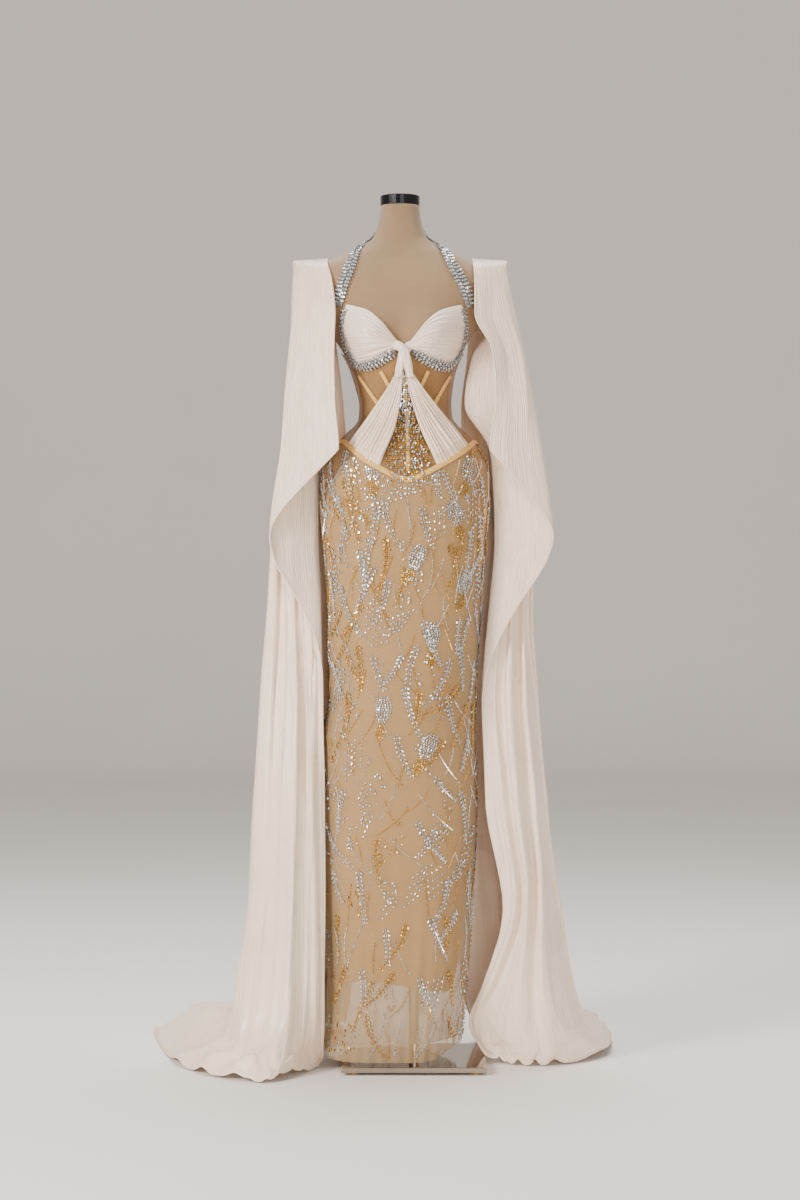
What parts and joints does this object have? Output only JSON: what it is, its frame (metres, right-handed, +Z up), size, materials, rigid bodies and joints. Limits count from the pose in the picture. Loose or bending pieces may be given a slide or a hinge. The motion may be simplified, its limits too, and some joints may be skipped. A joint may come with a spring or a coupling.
{
  "type": "halter gown on limbless dress form",
  "caption": "Evening gown with halter strap, pleated cups, sheer boned corset, beaded column skirt and floor-length cape sleeves, standing on a dress form with a square metal base.",
  "frame": {"origin": "on the floor, on the axis of the stand's pole, at the flat underside of the base plate's centre pad", "axes": "+Z up, the gown faces -Y, +X is the wearer's left"},
  "size_m": [0.9203, 0.6523, 1.6473],
  "materials": {
    "satin": "ivory crinkle satin with a soft sheen",
    "mesh": "sheer tan power mesh",
    "tulle": "sheer tulle with bead and crystal embroidery",
    "lining": "gold-nude satin lining",
    "tape": "yellow-tan bias tape",
    "crystal": "crystal trim on a metal backing",
    "linen": "beige linen over a hard shell",
    "dark_steel": "dark polished metal",
    "mirror_steel": "mirror-polished steel",
    "pad": "matt"
  },
  "bodies": {
    "root": {"base_plate": "mirror_steel", "pole": "mirror_steel", "pad_centre": "pad", "pad_1": "pad", "pad_2": "pad", "pad_3": "pad", "pad_4": "pad", "dress_form": "linen", "neck_cap": "dark_steel", "corset": "mesh", "boning_centre": "tape", "boning_left_inner": "tape", "boning_left_outer": "tape", "boning_right_inner": "tape", "boning_right_outer": "tape", "waist_binding": "tape", "skirt": "tulle", "skirt_lining": "lining", "cup_left": "satin", "cup_right": "satin", "knot": "satin", "streamer_left": "satin", "streamer_right": "satin", "cape_sleeve_left": "satin", "cape_sleeve_right": "satin", "halter_strap": "crystal", "cup_trim_left": "crystal", "cup_trim_right": "crystal"}
  },
  "joints": []
}
